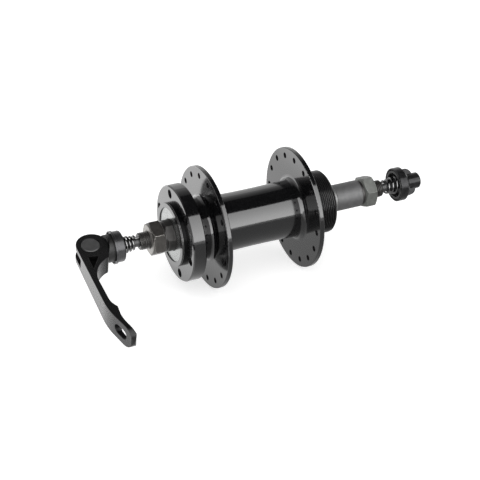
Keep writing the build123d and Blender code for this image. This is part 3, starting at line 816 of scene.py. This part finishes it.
def make_floor():
    """A pale floor that takes the hub's shadow and glows to the camera and in reflections."""
    s = Shader("pale_floor")
    diffuse = s.add("ShaderNodeBsdfDiffuse")
    s.fill(diffuse, Color=FLOOR_GREY)
    own_light = s.emission(s.product(s.seen_directly(), FLOOR_STRENGTH))
    both = s.add("ShaderNodeAddShader")
    s.link(diffuse.outputs[0], both.inputs[0])
    s.link(own_light, both.inputs[1])
    s.show(both.outputs[0])
    corners = ((-1, -1), (1, -1), (1, 1), (-1, 1))
    plane("floor", [(x * FLOOR_REACH, y * FLOOR_REACH, FLOOR_Z) for x, y in corners], s.material)


def make_world():
    """A room that lights the hub evenly and is white to the camera and in reflections."""
    world = bpy.data.worlds.new("studio")
    world.use_nodes = True
    scene.world = world
    tree = NodeTree(world.node_tree, "ShaderNodeOutputWorld")
    mix = tree.add("ShaderNodeMixShader")
    seen, room, backdrop = mix.inputs
    tree.link(tree.seen_directly(), seen)
    for socket, strength in ((room, ROOM_STRENGTH), (backdrop, BACKDROP_STRENGTH)):
        light = tree.add("ShaderNodeBackground")
        tree.fill(light, Color=WHITE, Strength=strength)
        tree.link(light.outputs[0], socket)
    tree.show(mix.outputs[0])


def make_lamp():
    """A wide lamp above and in front, which neither the camera nor the gloss sees."""
    data = bpy.data.lights.new("top_light", "AREA")
    data.shape = "RECTANGLE"
    data.size, data.size_y = LAMP_SIZE
    data.energy = LAMP_POWER
    lamp = add_object("top_light", data)
    lamp.location = LAMP_PLACE
    lamp.rotation_euler = (-lamp.location).to_track_quat("-Z", "Y").to_euler()
    lamp.visible_glossy = False
    lamp.visible_camera = False


def glow(name, low, high):
    """A light that runs from one strength to another up its card."""
    s = Shader(name)
    up = s.split(s.add("ShaderNodeTexCoord").outputs["UV"])["Y"]
    s.show(s.emission(s.ramp(up, 0.0, 1.0, low, high)))
    return s.material


def floor_glow():
    """What the gloss shows of the floor: dim under the barrel, bright by the rotor flange and the lever."""
    s = Shader("floor_sheet_ramp")
    place = s.split(s.spot())
    x, y = place["X"], place["Y"]
    towards_flange = s.ramp(y, 25.0, 80.0, 1.25, 3.2)
    towards_lever = s.ramp(y, 100.0, 125.0, 1.0, 1.4)
    towards_back = s.ramp(x, -60.0, 110.0, 0.45, 0.62)
    # Behind the barrel the floor is brighter, between its two ends along the axle
    rotor_end = s.ramp(y, 40.0, 70.0, 1.0, 0.0)
    drive_end = s.ramp(y, -50.0, -25.0)
    behind = s.product(s.ramp(x, 40.0, 90.0, 0.0, 0.9), rotor_end, drive_end)
    lift = s.math("ADD", behind, 1.0)
    s.show(s.emission(s.product(towards_flange, towards_lever, lift, towards_back)))
    return s.material


def ring_point(angle, distance=CARD_DISTANCE):
    """X and Z of a point round the axle, at an angle from +Z towards +X."""
    turn = math.radians(angle)
    return distance * math.sin(turn), distance * math.cos(turn)


def card(name, low, high, material):
    """A long sheet beside the axle between two points given by X and Z, seen in reflections alone."""
    half = CARD_HALF_LENGTH
    (x0, z0), (x1, z1) = low, high
    sheet = plane(name, [(x0, -half, z0), (x0, half, z0), (x1, half, z1), (x1, -half, z1)], material)
    sheet.visible_camera = False
    sheet.visible_diffuse = False
    sheet.visible_transmission = False
    sheet.visible_volume_scatter = False
    sheet.visible_shadow = False


def make_cards():
    """What the gloss reflects: soft box in front, dark card overhead, fading card behind, and the floor."""
    front, top = ring_point(SOFT_BOX_FRONT), ring_point(SOFT_BOX_TOP)
    back = ring_point(DARK_CARD_BACK)
    card("soft_box", front, top, glow("soft_box_glow", 6.5, 4.0))
    card("dark_card", top, back, glow("dark_card_glow", 0.0, 0.02))
    card("fade_card", back, ring_point(FADE_CARD_BACK, FADE_CARD_REACH), glow("fade_card_glow", 0.25, 1.1))
    level = FLOOR_Z + MM
    card("floor_sheet", (FLOOR_SHEET_FRONT, level), (FLOOR_SHEET_BACK, level), floor_glow())


# Dress the frame's nodes
def dress(material, *names):
    """Give nodes of the frame one material."""
    for name in names:
        mesh = nodes[name].data
        mesh.materials.clear()
        mesh.materials.append(material)


def dress_lever():
    """Satin lever with its pocket painted dark as shade, its steel pin and its plastic saddle."""
    dress(satin_black(), "cam_lever")
    # The pocket's darker, duller material is painted shade in that hollow.
    pocket = grained_black(
        "pocket_painted_shade_black", low=grey(0.002), high=grey(0.005), roughness=(0.55, 0.70),
        ior=1.12, scale=11.0, detail=4.0, depth=0.01,
    )
    paint_pocket_shade(pocket)
    pin = turned_steel(
        "pin_steel", low=grey(0.045), high=grey(0.060), roughness=(0.40, 0.50), metallic=0.2,
    )
    dress(pin, "lever_pivot_pin")
    plastic = grained_black(
        "black_moulded_plastic", low=grey(0.006), high=grey(0.010), roughness=(0.42, 0.52),
        ior=1.35, scale=14.0, detail=3.0, depth=0.006,
    )
    dress(plastic, "cam_saddle")


def dress_skewer():
    """The skewer's cap, rod and nut, and the steel ring in the nut's face."""
    cap = turned_steel(
        "satin_dark_metal", low=(0.044, 0.044, 0.046), high=(0.058, 0.058, 0.060),
        roughness=(0.25, 0.32), metallic=0.55, ior=1.4,
    )
    dress(cap, "clamp_cap")
    rod = turned_steel(
        "rod_steel", low=grey(0.030), high=grey(0.050), roughness=(0.40, 0.50), metallic=0.3,
    )
    dress(rod, "skewer_rod")
    nut = turned_steel(
        "satin_black_nut", low=(0.016, 0.016, 0.017), high=(0.028, 0.028, 0.029),
        roughness=(0.18, 0.26), metallic=0.25, ior=1.28,
    )
    dress(nut, "skewer_nut")
    # The ring's bright edges are a painted highlight.
    ring = forged_steel(
        "ring_steel", low=grey(0.030), high=grey(0.045), wear_and_highlight_tone=grey(0.20), metallic=0.6,
    )
    dress(ring, "skewer_nut_ring")


def dress_locknuts():
    """The locknuts of both sides, the rotor side's rubbed bright on its outer face."""
    dark = forged_steel(
        "dark_nut_steel", low=(0.040, 0.037, 0.034), high=(0.058, 0.054, 0.050),
        wear_and_highlight_tone=(0.55, 0.53, 0.50), metallic=0.5, face_from=LOCKNUT_FACE, edge_radius=0.35,
    )
    dress(dark, "rotor_side_locknut")
    pale = forged_steel(
        "grey_nut_steel", low=(0.130, 0.136, 0.127), high=(0.160, 0.166, 0.155),
        wear_and_highlight_tone=(0.38, 0.38, 0.36), metallic=0.35,
    )
    dress(pale, "drive_side_locknut")


def dress_bearings():
    """Bright caps, cups and balls, dark cones and washers, and the drive side's grey spacer and washer. The
    drive side's outer washer is dark as painted shade in the groove between spacer and locknut.
    """
    bright = turned_steel(
        "bright_plated_steel", low=(0.200, 0.207, 0.204), high=(0.250, 0.257, 0.254),
        roughness=(0.20, 0.30), metallic=0.9,
    )
    dark = turned_steel(
        "dark_steel_and_painted_groove_shade", low=(0.022, 0.021, 0.020), high=(0.034, 0.032, 0.031),
        roughness=(0.34, 0.44), metallic=0.5,
    )
    for side in ("rotor_side", "drive_side"):
        dress(bright, side + "_dust_cap", side + "_bearing_cup", side + "_bearing_balls")
        dress(dark, side + "_cone")
    # The drive side's outer washer is dark as painted shade in the groove between the spacer and the
    # locknut
    dress(dark, "rotor_side_lock_washer", "drive_side_outer_washer")
    spacer = turned_steel(
        "grey_spacer_steel", low=(0.080, 0.080, 0.081), high=(0.100, 0.100, 0.101),
        roughness=(0.46, 0.56), metallic=0.15,
    )
    dress(spacer, "drive_side_spacer")
    washer = turned_steel(
        "grey_washer_steel", low=grey(0.13), high=grey(0.17), roughness=(0.40, 0.50), metallic=0.4,
    )
    dress(washer, "drive_side_inner_washer")


make_camera()
make_world()
make_floor()
make_lamp()
make_cards()
make_shell()
dress_lever()
dress_skewer()
dress_locknuts()
dress_bearings()
make_axle()
make_springs()

scene.view_settings.view_transform = "Standard"
